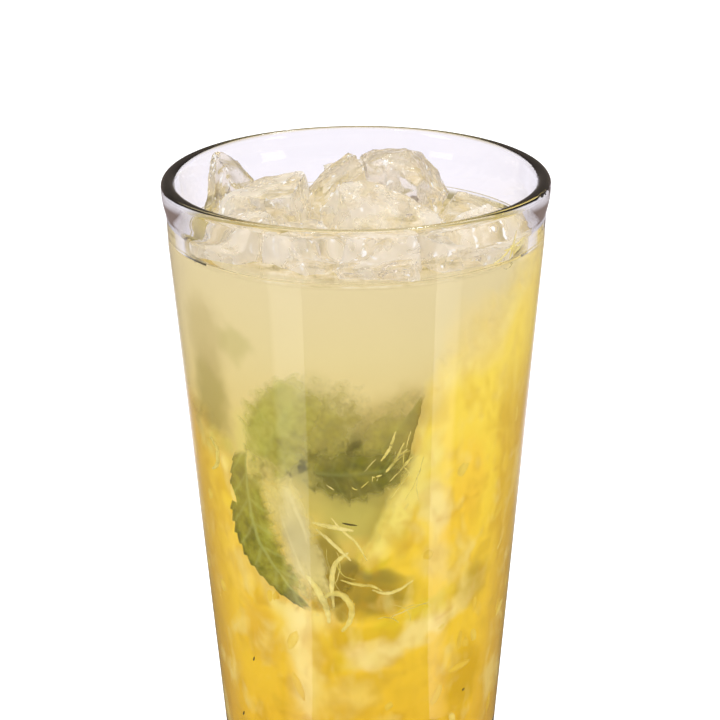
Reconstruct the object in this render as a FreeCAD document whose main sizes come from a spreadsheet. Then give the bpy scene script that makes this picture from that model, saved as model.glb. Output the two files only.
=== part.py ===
import FreeCAD, Part
import Sketcher
import math
import os

# A tall drink over ice in a tapered bar glass. Millimetres, +Z up.
# The origin is the middle of the foot, on the surface that the glass stands on.
# The glass and the drink are turned shapes. Each lump of ice is a solid of its own,
# and the drink is cut round the part of it that lies under the surface.

document = FreeCAD.newDocument("Caipirinha")

# ---- driving sizes -------------------------------------------------------------

SIZES = [
    # alias, value, what it is
    ("GlassHeight", 149.0, "foot to top of rim"),
    ("RimDiameter", 88.0, "outside, at the bead of the rim"),
    ("FootDiameter", 61.0, "outside wall carried down to the table"),
    ("RimThickness", 3.2, "wall at the rounded rim"),
    ("WallThickness", 3.0, "wall beside the floor"),
    ("FloorThickness", 13.5, "solid glass under the drink"),
    ("FloorFillet", 5.0, "inside corner of the floor"),
    ("HeelFillet", 2.4, "outside corner of the foot"),
    ("PuntDiameter", 46.0, "hollow under the foot"),
    ("PuntDepth", 2.2, "depth of that hollow at its middle"),
    ("PuntFillet", 1.2, "edge of that hollow"),
    ("BeadHeight", 7.6, "top of rim to the neck under its bead"),
    ("NeckHeight", 15.0, "top of rim to where the neck meets the straight wall"),
    ("NeckDepth", 0.32, "how far the neck lies inside the straight wall"),
    ("NeckFillet", 8.0, "hollow curve of the neck"),
    ("FillDrop", 13.5, "top of rim to the surface of the drink"),
    ("IceWallGap", 0.8, "ice to the glass wall"),
    ("IceGap", 0.25, "between two lumps of ice"),
    ("IceSink", 13.0, "how far the deepest ice reaches under the surface"),
    ("IceChip", 0.15, "share of a lump's reach that a broken corner takes"),
]

sheet = document.addObject("Spreadsheet::Sheet", "Sizes")
for row, (alias, value, note) in enumerate(SIZES, start=1):
    sheet.set(f"A{row}", note)
    sheet.set(f"B{row}", str(value))
    sheet.setAlias(f"B{row}", alias)
document.recompute()


def size(alias):
    return float(sheet.get(alias))


def worked_out(expression):
    return float(sheet.evalExpression(expression))


# ---- the outline's radii and heights, as expressions on the sheet --------------

LEVEL = "Sizes.GlassHeight - Sizes.FillDrop"
FLOOR = "Sizes.FloorThickness"
RIM_HEIGHT = "Sizes.GlassHeight - Sizes.RimThickness / 2"
NECK_END = "Sizes.GlassHeight - Sizes.NeckHeight"
NECK = "Sizes.GlassHeight - Sizes.BeadHeight"


def outside_at(height):
    """Outside radius of the straight wall, which runs from the foot to the rim."""
    foot, rim = "Sizes.FootDiameter / 2", "Sizes.RimDiameter / 2"
    return f"({foot} + ({rim} - {foot}) * ({height}) / Sizes.GlassHeight)"


RIM_INSIDE = "(Sizes.RimDiameter / 2 - Sizes.RimThickness)"
FLOOR_INSIDE = f"({outside_at(FLOOR)} - Sizes.WallThickness)"


def inside_at(height):
    """Inside radius of the wall, which runs straight from the floor to the rim."""
    share = f"(({height}) - {FLOOR}) / (({RIM_HEIGHT}) - {FLOOR})"
    return f"({FLOOR_INSIDE} + ({RIM_INSIDE} - {FLOOR_INSIDE}) * {share})"


# ---- turned bodies -------------------------------------------------------------

START, END, CENTRE = 1, 2, 3
HORIZONTAL_AXIS, VERTICAL_AXIS = -1, -2
ZERO = "0"
NEAR = 0.01


def pin_point(sketch, geometry, place, x, z):
    """Ties a point of the sketch to a radius and a height on the sheet. None leaves one free."""
    for kind, axis, expression in (("DistanceX", VERTICAL_AXIS, x), ("DistanceY", HORIZONTAL_AXIS, z)):
        if expression is None:
            continue
        if expression == ZERO:
            sketch.addConstraint(Sketcher.Constraint("PointOnObject", geometry, place, axis))
            continue
        value = worked_out(expression)
        index = sketch.addConstraint(Sketcher.Constraint(kind, HORIZONTAL_AXIS, START, geometry, place, value))
        sketch.setExpression(f"Constraints[{index}]", expression)


def turned_body(name, corners, arcs):
    """A body turned about Z from a closed outline in the XZ plane.

    corners lists radius and height of each corner. arcs maps the number of a side, which starts at
    that corner, to a point that its arc passes through and the tie of the arc's centre.
    """
    body = document.addObject("PartDesign::Body", name + "_turned")
    sketch = body.newObject("Sketcher::SketchObject", name + "_outline")
    plane = next(f for f in body.Origin.OriginFeatures if f.Role == "XZ_Plane")
    sketch.AttachmentSupport = [(plane, "")]
    sketch.MapMode = "FlatFace"
    points = [FreeCAD.Vector(worked_out(x), worked_out(z), 0) for x, z in corners]
    ends = []
    for side, start in enumerate(points):
        end = points[(side + 1) % len(points)]
        if side in arcs:
            through = FreeCAD.Vector(*(worked_out(value) for value in arcs[side]["through"]), 0)
            index = sketch.addGeometry(Part.Arc(start, through, end))
            forward = sketch.getPoint(index, START).distanceToPoint(start) < 1e-6
            ends.append((START, END) if forward else (END, START))
        else:
            sketch.addGeometry(Part.LineSegment(start, end))
            ends.append((START, END))
    for side in range(len(points)):
        following = (side + 1) % len(points)
        joined = (side, ends[side][1], following, ends[following][0])
        sketch.addConstraint(Sketcher.Constraint("Coincident", *joined))
    for side, (x, z) in enumerate(corners):
        pin_point(sketch, side, ends[side][0], x, z)
    for side, arc in arcs.items():
        pin_point(sketch, side, CENTRE, *arc["centre"])
    turned = body.newObject("PartDesign::Revolution", name + "_solid")
    turned.Profile = sketch
    turned.ReferenceAxis = (sketch, ["V_Axis"])
    turned.Angle = 360
    document.recompute()
    return body


def lies_on_circle(edge, radius, height):
    """True if the edge's start and middle are both at this distance from the axis and this height."""
    first, last = edge.ParameterRange
    spots = [edge.valueAt(first), edge.valueAt((first + last) / 2)]
    return all(abs(math.hypot(p.x, p.y) - radius) < NEAR and abs(p.z - height) < NEAR for p in spots)


def round_off(body, radius, height, fillet):
    """Fillets the circle of the body that lies at a radius and a height."""
    circle = (worked_out(radius), worked_out(height))
    before = body.Tip
    edges = enumerate(before.Shape.Edges, start=1)
    found = [f"Edge{number}" for number, edge in edges if lies_on_circle(edge, *circle)]
    feature = body.newObject("PartDesign::Fillet", f"{body.Name}_{fillet}")
    feature.Base = (before, found)
    feature.setExpression("Radius", f"Sizes.{fillet}")
    document.recompute()


def make_glass():
    corners = [
        (ZERO, "Sizes.PuntDepth"),
        ("Sizes.PuntDiameter / 2", ZERO),
        ("Sizes.FootDiameter / 2", ZERO),
        (outside_at(NECK_END), NECK_END),
        (f"{outside_at(NECK)} - Sizes.NeckDepth", NECK),
        ("Sizes.RimDiameter / 2", RIM_HEIGHT),
        (RIM_INSIDE, RIM_HEIGHT),
        (FLOOR_INSIDE, FLOOR),
        (ZERO, FLOOR),
    ]
    punt, foot, neck_end, neck, rim_inside, floor = 1, 2, 3, 4, 6, 7
    bead_middle = f"({corners[neck][0]} + 3 * Sizes.RimDiameter / 2) / 4"
    arcs = {
        0: {"through": ("Sizes.PuntDiameter / 4", "Sizes.PuntDepth * 3 / 4"), "centre": (ZERO, None)},
        4: {"through": (bead_middle, f"({NECK} + {RIM_HEIGHT}) / 2"), "centre": (None, RIM_HEIGHT)},
        5: {"through": ("Sizes.RimDiameter / 2 - Sizes.RimThickness / 2", "Sizes.GlassHeight"),
            "centre": (None, RIM_HEIGHT)},
    }
    body = turned_body("glass", corners, arcs)
    round_off(body, *corners[neck], "NeckFillet")
    round_off(body, *corners[foot], "HeelFillet")
    round_off(body, *corners[punt], "PuntFillet")
    round_off(body, *corners[floor], "FloorFillet")
    body.Label = "glass"
    return body


def make_drink_before_ice():
    corners = [
        (ZERO, FLOOR),
        (FLOOR_INSIDE, FLOOR),
        (inside_at(LEVEL), LEVEL),
        (ZERO, LEVEL),
    ]
    body = turned_body("drink", corners, {})
    round_off(body, *corners[1], "FloorFillet")
    body.Label = "drink_before_ice"
    return body


# ---- ice -----------------------------------------------------------------------

# Each lump starts as a tilted block. across and back are shares of the inside radius at the
# surface of the drink, +across to the right and +back away from the front. rise is the height of
# its middle over that surface, and the block's sizes are in millimetres, its angles in degrees.
ICE = [
    # name, across, back, rise, long, wide, high, turn, lean, roll
    ("shard", -0.77, 0.37, -1.5, 14.0, 17.0, 35.0, 14, 15, -8),
    ("left_block", -0.49, 0.18, -1.2, 19.0, 20.0, 24.0, -14, -7, 8),
    ("peak_left", -0.07, 0.36, 0.4, 18.0, 19.0, 25.0, 24, 33, 4),
    ("peak_right", 0.25, 0.40, 2.6, 21.0, 20.0, 24.0, -30, -6, -12),
    ("mound_front", 0.12, -0.04, -1.5, 22.0, 20.0, 20.0, 38, 12, 24),
    ("right_slope", 0.62, 0.34, -7.0, 21.0, 20.0, 19.0, 10, 17, 6),
    ("right_wall", 0.78, -0.05, -6.5, 19.0, 20.0, 18.0, 62, -12, 8),
    ("front_right", 0.53, -0.48, -5.0, 21.0, 19.0, 18.0, 28, 14, -10),
    ("front_middle", 0.12, -0.63, -4.5, 21.0, 18.0, 18.0, -8, -7, 12),
    ("front_left", -0.28, -0.47, -4.5, 19.0, 20.0, 18.0, 44, 10, 18),
    ("left_front", -0.66, -0.30, -4.0, 19.0, 18.0, 19.0, -32, -16, 10),
    ("back_left", -0.36, 0.70, -9.5, 20.0, 18.0, 18.0, 52, 12, -14),
    ("back_right", 0.10, 0.79, -3.5, 20.0, 17.0, 19.0, 8, -8, 14),
    ("back_slope", 0.52, 0.70, -9.0, 18.0, 17.0, 16.0, -40, 14, 10),
]

# Flat breaks that give the tallest lumps their outline. towards is the compass side that the
# break faces in degrees round from +X, up its tilt above level, out its distance from the middle.
BREAKS = [
    # name, towards, up, out
    ("shard", -10, 42, 9.5),
    ("shard", 205, 18, 4.2),
    ("peak_left", 185, 44, 9.0),
    ("peak_right", -5, 40, 10.0),
    ("peak_right", 170, 62, 12.6),
    ("left_block", 150, 52, 11.5),
    ("mound_front", -60, 48, 8.5),
]
CORNERS_BROKEN = 7
UNEVENNESS = 0.5
CORNER_STEP = 2.4
LUMP_STEP = 0.7
GOLDEN_ANGLE = 137.508
FAR = 200.0


def kept_side(point, outward):
    """A large block whose one face passes through the point and looks along outward."""
    block = Part.makeBox(FAR, FAR, FAR, FreeCAD.Vector(-FAR / 2, -FAR / 2, -FAR))
    block.Placement = FreeCAD.Placement(point, FreeCAD.Rotation(FreeCAD.Vector(0, 0, 1), outward))
    return block


def facing(towards, up):
    """The direction at a compass angle round from +X and a tilt above level, in degrees."""
    towards, up = math.radians(towards), math.radians(up)
    return FreeCAD.Vector(math.cos(towards) * math.cos(up), math.sin(towards) * math.cos(up), math.sin(up))


def spread_direction(step, count, phase):
    """One of count directions spread evenly over a sphere by the golden angle."""
    height = 1 - 2 * (step + 0.5) / count
    return facing(GOLDEN_ANGLE * (step + phase), math.degrees(math.asin(height)))


def tilted_block(middle, sides, turn, lean, roll):
    long, wide, high = sides
    block = Part.makeBox(long, wide, high, FreeCAD.Vector(-long / 2, -wide / 2, -high / 2))
    block.Placement = FreeCAD.Placement(middle, FreeCAD.Rotation(turn, lean, roll))
    return block


def break_corners(block, middle, phase):
    """Cuts the corners of a block by planes at uneven depths, as cracked ice breaks."""
    for step in range(CORNERS_BROKEN):
        outward = spread_direction(step, CORNERS_BROKEN, phase)
        reach = max((vertex.Point - middle).dot(outward) for vertex in block.Vertexes)
        unevenly = 1 + UNEVENNESS * math.sin(CORNER_STEP * step + phase)
        depth = reach * size("IceChip") * unevenly
        block = block.common(kept_side(middle + outward * (reach - depth), outward))
    return block


def keep_apart(lumps):
    """Cuts each pair of lumps that meet along the plane between them, leaving the gap."""
    gap = size("IceGap")
    shapes = [lump["shape"] for lump in lumps]
    for first, a in enumerate(lumps):
        for second, b in enumerate(lumps):
            between = b["middle"] - a["middle"]
            apart = between.Length
            if first == second or apart > a["reach"] + b["reach"]:
                continue
            share = (apart * apart + a["half"] ** 2 - b["half"] ** 2) / (2 * apart)
            outward = between / apart
            wall = a["middle"] + outward * (share - gap / 2)
            shapes[first] = shapes[first].common(kept_side(wall, outward))
    return shapes


def make_ice():
    level, sink = worked_out(LEVEL), size("IceSink")
    surface_radius = worked_out(inside_at(LEVEL))
    rim_height, rim_radius = worked_out(RIM_HEIGHT), worked_out(RIM_INSIDE)
    floor_height, floor_radius = worked_out(FLOOR), worked_out(FLOOR_INSIDE)
    lumps = []
    for number, (name, across, back, rise, long, wide, high, *angles) in enumerate(ICE):
        middle = FreeCAD.Vector(across * surface_radius, back * surface_radius, level + rise)
        block = tilted_block(middle, (long, wide, high), *angles)
        for broken, towards, up, out in BREAKS:
            if broken == name:
                outward = facing(towards, up)
                block = block.common(kept_side(middle + outward * out, outward))
        lumps.append({
            "name": name,
            "middle": middle,
            "shape": break_corners(block, middle, LUMP_STEP * number),
            "half": (long + wide + high) / 6,
            "reach": math.sqrt(long * long + wide * wide + high * high) / 2,
        })
    taper = (rim_radius - floor_radius) / (rim_height - floor_height)
    top = rim_height + size("FillDrop")
    room = Part.makeCone(
        floor_radius - size("IceWallGap"),
        rim_radius - size("IceWallGap") + taper * (top - rim_height),
        top - floor_height,
        FreeCAD.Vector(0, 0, floor_height),
    )
    under = kept_side(FreeCAD.Vector(0, 0, level - sink), FreeCAD.Vector(0, 0, -1))
    made = []
    for lump, shape in zip(lumps, keep_apart(lumps)):
        feature = document.addObject("Part::Feature", "ice_" + lump["name"])
        feature.Shape = shape.common(under).common(room).removeSplitter().Solids[0]
        feature.Label = "ice_" + lump["name"]
        made.append(feature)
    return made


def make_drink(ice):
    whole = make_drink_before_ice()
    lumps = document.addObject("Part::Compound", "ice_together")
    lumps.Links = ice
    drink = document.addObject("Part::Cut", "drink_cut")
    drink.Base = whole
    drink.Tool = lumps
    document.recompute()
    drink.Label = "drink"
    return drink


# ---- build, check and write ----------------------------------------------------

glass = make_glass()
ice = make_ice()
drink = make_drink(ice)
document.recompute()

for item in document.Objects:
    if "Invalid" in item.State or "Error" in item.State:
        raise RuntimeError(f"{item.Name} did not build: {item.State}")

os.makedirs("parts", exist_ok=True)
for part in [glass, drink, *ice]:
    if part.Shape.isNull() or not part.Shape.isValid():
        raise RuntimeError(f"{part.Label} has no valid shape")
    part.Shape.exportStep(f"parts/{part.Label}.step")
    print(f"{part.Label}: {part.Shape.Volume / 1000:.2f} cm3, {len(part.Shape.Solids)} solid")
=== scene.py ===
import math

import bmesh
import bpy
import numpy as np
from mathutils import Matrix, Vector, noise
from mathutils.bvhtree import BVHTree


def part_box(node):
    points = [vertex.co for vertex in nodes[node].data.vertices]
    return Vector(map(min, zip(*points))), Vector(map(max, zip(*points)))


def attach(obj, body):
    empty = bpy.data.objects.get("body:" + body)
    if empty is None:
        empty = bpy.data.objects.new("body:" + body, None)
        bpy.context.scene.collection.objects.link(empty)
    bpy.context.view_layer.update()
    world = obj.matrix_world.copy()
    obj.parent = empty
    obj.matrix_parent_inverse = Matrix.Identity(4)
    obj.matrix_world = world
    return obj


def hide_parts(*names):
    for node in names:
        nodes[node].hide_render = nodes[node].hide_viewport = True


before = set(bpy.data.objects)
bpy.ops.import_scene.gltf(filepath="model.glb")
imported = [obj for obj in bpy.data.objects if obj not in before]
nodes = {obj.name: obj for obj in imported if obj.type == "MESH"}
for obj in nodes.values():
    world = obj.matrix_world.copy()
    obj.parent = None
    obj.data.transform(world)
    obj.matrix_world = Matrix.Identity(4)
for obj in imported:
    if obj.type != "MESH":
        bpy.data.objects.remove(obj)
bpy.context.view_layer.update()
mm = 0.001
scene = bpy.context.scene

# ---- measures from the frame: metres, +Z up, the front of the glass faces -Y

drinkLow, drinkHigh = (Vector(corner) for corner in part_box("drink"))
level = drinkHigh.z  # surface of the drink
floorTop = drinkLow.z  # top of the solid glass floor
surfaceRadius = drinkHigh.x
cornerHeight = 4.6 * mm  # round corner between floor and wall


def straightWall():
    # the inside wall is a straight cone, known from the highest ring of the drink's lower half
    points = [vertex.co for vertex in nodes["drink"].data.vertices]
    low = [p for p in points if p.z < (level + floorTop) / 2]
    ring = max(low, key=lambda p: p.z)
    return ring.z, math.hypot(ring.x, ring.y)


ringHeight, ringRadius = straightWall()
wallSlope = (surfaceRadius - ringRadius) / (level - ringHeight)


def wallRadius(z):
    return ringRadius + (z - ringHeight) * wallSlope


def insideRadius(z):
    # the wall with its round corner at the floor
    drop = np.clip(floorTop + cornerHeight - z, 0, cornerHeight)
    return wallRadius(z) - (cornerHeight - np.sqrt(cornerHeight ** 2 - drop ** 2))


def wallPoint(azimuth, z, depth):
    # a place behind the inside wall, azimuth in degrees from the front, + to the right
    angle = math.radians(azimuth)
    radius = float(insideRadius(z)) - depth
    return radius * math.sin(angle), -radius * math.cos(angle), z


# ---- small helpers

def linear(code, alpha=1.0):
    # an sRGB colour such as "#E8D49C" as the linear colour that a socket takes
    parts = [int(code[i:i + 2], 16) / 255 for i in (1, 3, 5)]
    return tuple(p / 12.92 if p <= 0.04045 else ((p + 0.055) / 1.055) ** 2.4 for p in parts) + (alpha,)


def blend(stops, values):
    # linear colours for an array of values along stops of (place, sRGB colour)
    places = [place for place, _ in stops]
    colors = np.array([linear(code)[:3] for _, code in stops])
    return np.stack([np.interp(values, places, colors[:, part]) for part in range(3)], 1)


def newMaterial(name):
    material = bpy.data.materials.new(name)
    material.use_nodes = True
    material.node_tree.nodes.clear()
    return material, material.node_tree


def add(tree, kind, settings=None, links=None):
    node = tree.nodes.new("ShaderNode" + kind)
    for name, value in (settings or {}).items():
        if isinstance(name, int) or name in node.inputs:
            node.inputs[name].default_value = value
        else:
            setattr(node, name, value)
    for name, source in (links or {}).items():
        tree.links.new(source, node.inputs[name])
    return node


def calc(tree, operation, first, second=0.5, clamp=False):
    # arithmetic on one or two values, each a socket or a number
    settings, links = {"operation": operation, "use_clamp": clamp}, {}
    for index, value in enumerate((first, second)):
        (settings if isinstance(value, (int, float)) else links)[index] = value
    return add(tree, "Math", settings, links).outputs[0]


def remap(tree, value, low, high, least, most, kind="LINEAR"):
    # low to high becomes least to most
    settings = {"interpolation_type": kind, 1: low, 2: high, 3: least, 4: most}
    return add(tree, "MapRange", settings, {0: value}).outputs[0]


def mixColors(tree, share, first, second):
    # two colours, each a socket or an sRGB code
    settings, links = {"data_type": "RGBA"}, {0: share}
    for index, color in ((6, first), (7, second)):
        if isinstance(color, str):
            settings[index] = linear(color)
        else:
            links[index] = color
    return add(tree, "Mix", settings, links).outputs[2]


def mixShaders(tree, share, first, second):
    return add(tree, "MixShader", None, {0: share, 1: first.outputs[0], 2: second.outputs[0]})


def setOutput(tree, surface):
    add(tree, "OutputMaterial", None, {"Surface": surface.outputs[0]})


def colorRamp(tree, value, stops):
    node = add(tree, "ValToRGB", None, {0: value})
    ramp = node.color_ramp
    while len(ramp.elements) < len(stops):
        ramp.elements.new(0.5)
    for element, (position, code) in zip(ramp.elements, stops):
        element.position = position
        element.color = linear(code)
    return node.outputs[0]


def painted(tree, name):
    # a number that the mesh carries at each vertex
    return add(tree, "Attribute", {"attribute_name": name}).outputs["Fac"]


def noisePattern(tree, place, scale, detail, **settings):
    settings.update(Scale=scale, Detail=detail)
    return add(tree, "TexNoise", settings, {"Vector": place}).outputs[0]


def paint(mesh, name, values):
    attribute = mesh.attributes.new(name, "FLOAT", "POINT")
    attribute.data.foreach_set("value", np.asarray(values, np.float32))


def addPiece(name, vertices, faces, material, slot, smooth=True):
    mesh = bpy.data.meshes.new(name)
    mesh.from_pydata([tuple(v) for v in vertices], [], [tuple(f) for f in faces])
    mesh.validate()
    if smooth:
        mesh.shade_smooth()
    piece = bpy.data.objects.new(name, mesh)
    scene.collection.objects.link(piece)
    mesh.materials.append(material)
    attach(piece, "root")
    return piece


def turned(profile, steps):
    # vertices and faces of a closed profile of (radius, height) turned about Z, poles at radius 0
    vertices, faces, rings = [], [], []
    for radius, height in profile:
        if radius < 1e-7:
            rings.append([len(vertices)] * steps)
            vertices.append((0, 0, height))
            continue
        first = len(vertices)
        rings.append(list(range(first, first + steps)))
        for step in range(steps):
            angle = 2 * math.pi * step / steps
            vertices.append((radius * math.cos(angle), radius * math.sin(angle), height))
    for lower, upper in zip(rings, rings[1:]):
        for step in range(steps):
            after = (step + 1) % steps
            corners = [lower[step], lower[after], upper[after], upper[step]]
            face = list(dict.fromkeys(corners))
            if len(face) > 2:
                faces.append(face)
    return vertices, faces


# ---- camera, floor and light

cameraView = {
    "target": Vector((0.6, 0.0, 104.9)) * mm,
    "distance": 758 * mm,
    "above": 19.18,  # degrees over level
    "roll": 0.47,
    "lens": 165.0,
}


def placeCamera():
    camera = bpy.data.cameras.new("camera")
    camera.lens = cameraView["lens"]
    camera.sensor_width = 36
    camera.clip_start = 0.01
    holder = bpy.data.objects.new("camera", camera)
    scene.collection.objects.link(holder)
    above = math.radians(cameraView["above"])
    forward = Vector((0, math.cos(above), -math.sin(above)))
    turn = forward.to_track_quat("-Z", "Y").to_matrix()
    roll = Matrix.Rotation(-math.radians(cameraView["roll"]), 3, "Z")
    place = Matrix.Translation(cameraView["target"] - forward * cameraView["distance"])
    holder.matrix_world = place @ (turn @ roll).to_4x4()
    scene.camera = holder


studio = {
    "floorWhite": 0.93,  # albedo of the table
    "around": 0.74,  # even light on matt surfaces
    "dark": 0.27,  # what polished glass sees level with it
    "bright": 0.7,  # and higher up
    "overhead": 3.4,  # watts
    "side": 2.0,
    "glint": 0.5,  # small lamps for sparks on wet ice
    "bandGlow": 1.8,  # brightness of the two boards in a reflection
}


def makeWorld():
    world = bpy.data.worlds.new("studio")
    scene.world = world
    world.use_nodes = True
    tree = world.node_tree
    tree.nodes.clear()
    path = add(tree, "LightPath")
    white = add(tree, "Background", {"Color": (1, 1, 1, 1), "Strength": 1.0})
    around = add(tree, "Background", {"Color": (1, 1, 1, 1), "Strength": studio["around"]})
    heading = add(tree, "TexCoord")
    height = add(tree, "SeparateXYZ", None, {0: heading.outputs["Generated"]})
    rise = remap(tree, height.outputs[2], 0.35, 0.8, studio["dark"], studio["bright"])
    dark = add(tree, "Background", {"Color": linear("#EDD9CB")}, {"Strength": rise})
    polished = calc(tree, "MAXIMUM", path.outputs["Is Glossy Ray"], path.outputs["Is Transmission Ray"])
    # light that reaches a matt thing through the glass is still the even light
    direct = calc(tree, "LESS_THAN", path.outputs["Diffuse Depth"], 0.5)
    unlit = mixShaders(tree, calc(tree, "MULTIPLY", polished, direct), around, dark)
    seen = mixShaders(tree, path.outputs["Is Camera Ray"], unlit, white)
    add(tree, "OutputWorld", None, {"Surface": seen.outputs[0]})


def tableMaterial():
    # white table: matt for light, plain white to the eye; through glass only the middle is white,
    # so that rims and edges, which bend a ray far aside, get their dark lines
    material, tree = newMaterial("white_table")
    path = add(tree, "LightPath")
    matt = add(tree, "BsdfDiffuse", {"Color": (studio["floorWhite"],) * 3 + (1,)})
    lift = add(tree, "Emission", {"Color": (1, 1, 1, 1), "Strength": 0.5})
    both = add(tree, "AddShader", None, {0: matt.outputs[0], 1: lift.outputs[0]})
    shown = mixShaders(tree, path.outputs["Is Camera Ray"], matt, both)
    place = add(tree, "TexCoord")
    split = add(tree, "SeparateXYZ", None, {0: place.outputs["Object"]})
    aside = calc(tree, "ABSOLUTE", split.outputs[0])
    near = remap(tree, aside, 0.20, 0.42, 1.0, 0.0, "SMOOTHSTEP")
    far = remap(tree, split.outputs[1], 0.9, 1.6, 1.0, 0.0, "SMOOTHSTEP")
    # a ray bent through glass counts as glossy too; a true mirror image sees only a narrow white part
    mirrored = calc(tree, "SUBTRACT", path.outputs["Is Glossy Ray"], path.outputs["Is Transmission Ray"],
                    clamp=True)
    narrow = remap(tree, aside, 0.07, 0.17, 1.0, 0.1, "SMOOTHSTEP")
    middle = add(tree, "Mix", {"data_type": "FLOAT"}, {0: mirrored, 2: near, 3: narrow})
    sheet = mixColors(tree, calc(tree, "MULTIPLY", middle.outputs[0], far), "#7E6C64", "#FAF7FF")
    # painted shadow and light: close to the glass the table is a darker warm tan, the glass's shadow with
    # the drink's own light in it
    close = remap(tree, split.outputs[1], 0.06, 0.24, 1.0, 0.0, "SMOOTHSTEP")
    sheet = mixColors(tree, close, sheet, "#B4A468")
    sheetGlow = add(tree, "Emission", {"Strength": 1.04}, {"Color": sheet})
    # the mirror image lights the outer edges with the sheet behind, and shows a dark room in front
    polished = calc(tree, "MAXIMUM", path.outputs["Is Transmission Ray"], mirrored)
    through = mixShaders(tree, polished, shown, sheetGlow)
    glossy = add(tree, "BsdfDiffuse", {"Color": (0.12, 0.12, 0.12, 1)})
    setOutput(tree, mixShaders(tree, calc(tree, "MULTIPLY", mirrored, close), through, glossy))
    return material


def boardMaterial():
    # brightest along one edge
    material, tree = newMaterial("lit_board")
    strength = calc(tree, "MULTIPLY", painted(tree, "glow"), studio["bandGlow"])
    setOutput(tree, add(tree, "Emission", {"Color": (1, 1, 1, 1)}, {"Strength": strength}))
    return material


def addStage(name, corners, material):
    mesh = bpy.data.meshes.new(name)
    mesh.from_pydata(corners, [], [tuple(range(len(corners)))])
    mesh.materials.append(material)
    plane = bpy.data.objects.new(name, mesh)
    scene.collection.objects.link(plane)
    return plane


def makeStage():
    far = 6.0
    addStage("table", [(-far, -far, 0), (far, -far, 0), (far, far, 0), (-far, far, 0)], tableMaterial())
    lit = boardMaterial()
    # boards that lie on the table in front, seen only as two soft upright bands in the glass
    boards = [("board_left", 238, 216, 1.0, 0.2), ("board_right", 317, 335, 0.9, 0.9)]
    for name, start, end, most, least in boards:
        edges = [math.radians(angle) for angle in (start, end)]
        near, away = 70 * mm, 700 * mm
        corners = [(r * math.cos(a), r * math.sin(a), 0.5 * mm)
                   for a, r in ((edges[0], near), (edges[0], away), (edges[1], away), (edges[1], near))]
        board = addStage(name, corners, lit)
        paint(board.data, "glow", [most, least, 0.0, 0.0])
        board.visible_camera = False
        board.visible_diffuse = False
        board.visible_shadow = False
        board.visible_transmission = False
        board.visible_volume_scatter = False


def addLamp(name, place, aim, width, height, power):
    lamp = bpy.data.lights.new(name, "AREA")
    lamp.shape = "RECTANGLE"
    lamp.size, lamp.size_y, lamp.energy = width, height, power
    holder = bpy.data.objects.new(name, lamp)
    scene.collection.objects.link(holder)
    holder.location = place
    holder.rotation_euler = (Vector(aim) - Vector(place)).to_track_quat("-Z", "Y").to_euler()
    holder.visible_camera = False
    return holder


def lightScene():
    middle = (0, 0, 0.1)
    addLamp("overhead", (0.0, 0.25, 1.0), middle, 0.9, 0.6, studio["overhead"])
    addLamp("side_left", (-0.85, -0.55, 0.45), middle, 0.3, 0.9, studio["side"])
    addLamp("glint_back", (0.15, 0.6, 0.95), middle, 0.07, 0.07, studio["glint"])
    addLamp("glint_left", (-0.32, -0.25, 1.2), middle, 0.07, 0.07, studio["glint"])
    addLamp("side_right", (0.85, -0.6, 0.45), middle, 0.3, 0.9, studio["side"])


placeCamera()
makeWorld()
makeStage()
lightScene()
print("stage ready")

# ---- materials that let lamps through: glass and ice would otherwise shade what they hold


glassIor, juiceIor, iceIor = 1.5, 1.34, 1.31


def softRay(tree):
    # 1 for the rays that carry light to a matt surface
    path = add(tree, "LightPath")
    return calc(tree, "MAXIMUM", path.outputs["Is Shadow Ray"], path.outputs["Is Diffuse Ray"])


def lampsPass(tree, surface):
    setOutput(tree, mixShaders(tree, softRay(tree), surface, add(tree, "BsdfTransparent")))


def depthUnderWall(tree):
    # how deep a point lies behind the inside wall and its height, in metres
    place = add(tree, "TexCoord")
    split = add(tree, "SeparateXYZ", None, {0: place.outputs["Object"]})
    flat = add(tree, "CombineXYZ", None, {0: split.outputs[0], 1: split.outputs[1]})
    radius = add(tree, "VectorMath", {"operation": "LENGTH"}, {0: flat.outputs[0]})
    wall = add(tree, "MapRange", {"clamp": False, 1: ringHeight, 2: level, 3: ringRadius, 4: surfaceRadius},
               {0: split.outputs[2]})
    depth = calc(tree, "SUBTRACT", wall.outputs[0], radius.outputs["Value"])
    return depth, split.outputs[2]


def within(tree, pairs):
    # 1 where every value is greater than its limit
    result = None
    for value, limit in pairs:
        test = calc(tree, "GREATER_THAN", value, limit)
        result = test if result is None else calc(tree, "MULTIPLY", result, test)
    return result


def sodaGlass():
    # polished soda glass; where the drink wets it, light passes on into juice instead of air,
    # and the cloudy juice there softens what lies deeper
    material, tree = newMaterial("soda_glass")
    depth, height = depthUnderWall(tree)
    under = calc(tree, "MULTIPLY", height, -1.0)
    wet = within(tree, [(depth, -0.8 * mm), (height, floorTop - 0.5 * mm), (under, -level - 0.3 * mm)])
    dry = add(tree, "BsdfPrincipled", {
        "Base Color": linear("#FEFDFF"), "Roughness": 0.0, "IOR": glassIor, "Transmission Weight": 1.0,
    })
    wetted = add(tree, "BsdfPrincipled", {
        "Base Color": (1, 1, 1, 1), "Roughness": 0.12, "IOR": glassIor / juiceIor,
        "Transmission Weight": 1.0,
    })
    lampsPass(tree, mixShaders(tree, wet, dry, wetted))
    return material


glassNode = nodes["glass"]
glassNode.data.materials.clear()
glassNode.data.materials.append(sodaGlass())
glassNode.data.shade_smooth()
print("glass ready")

# ---- cloudy drink

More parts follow.
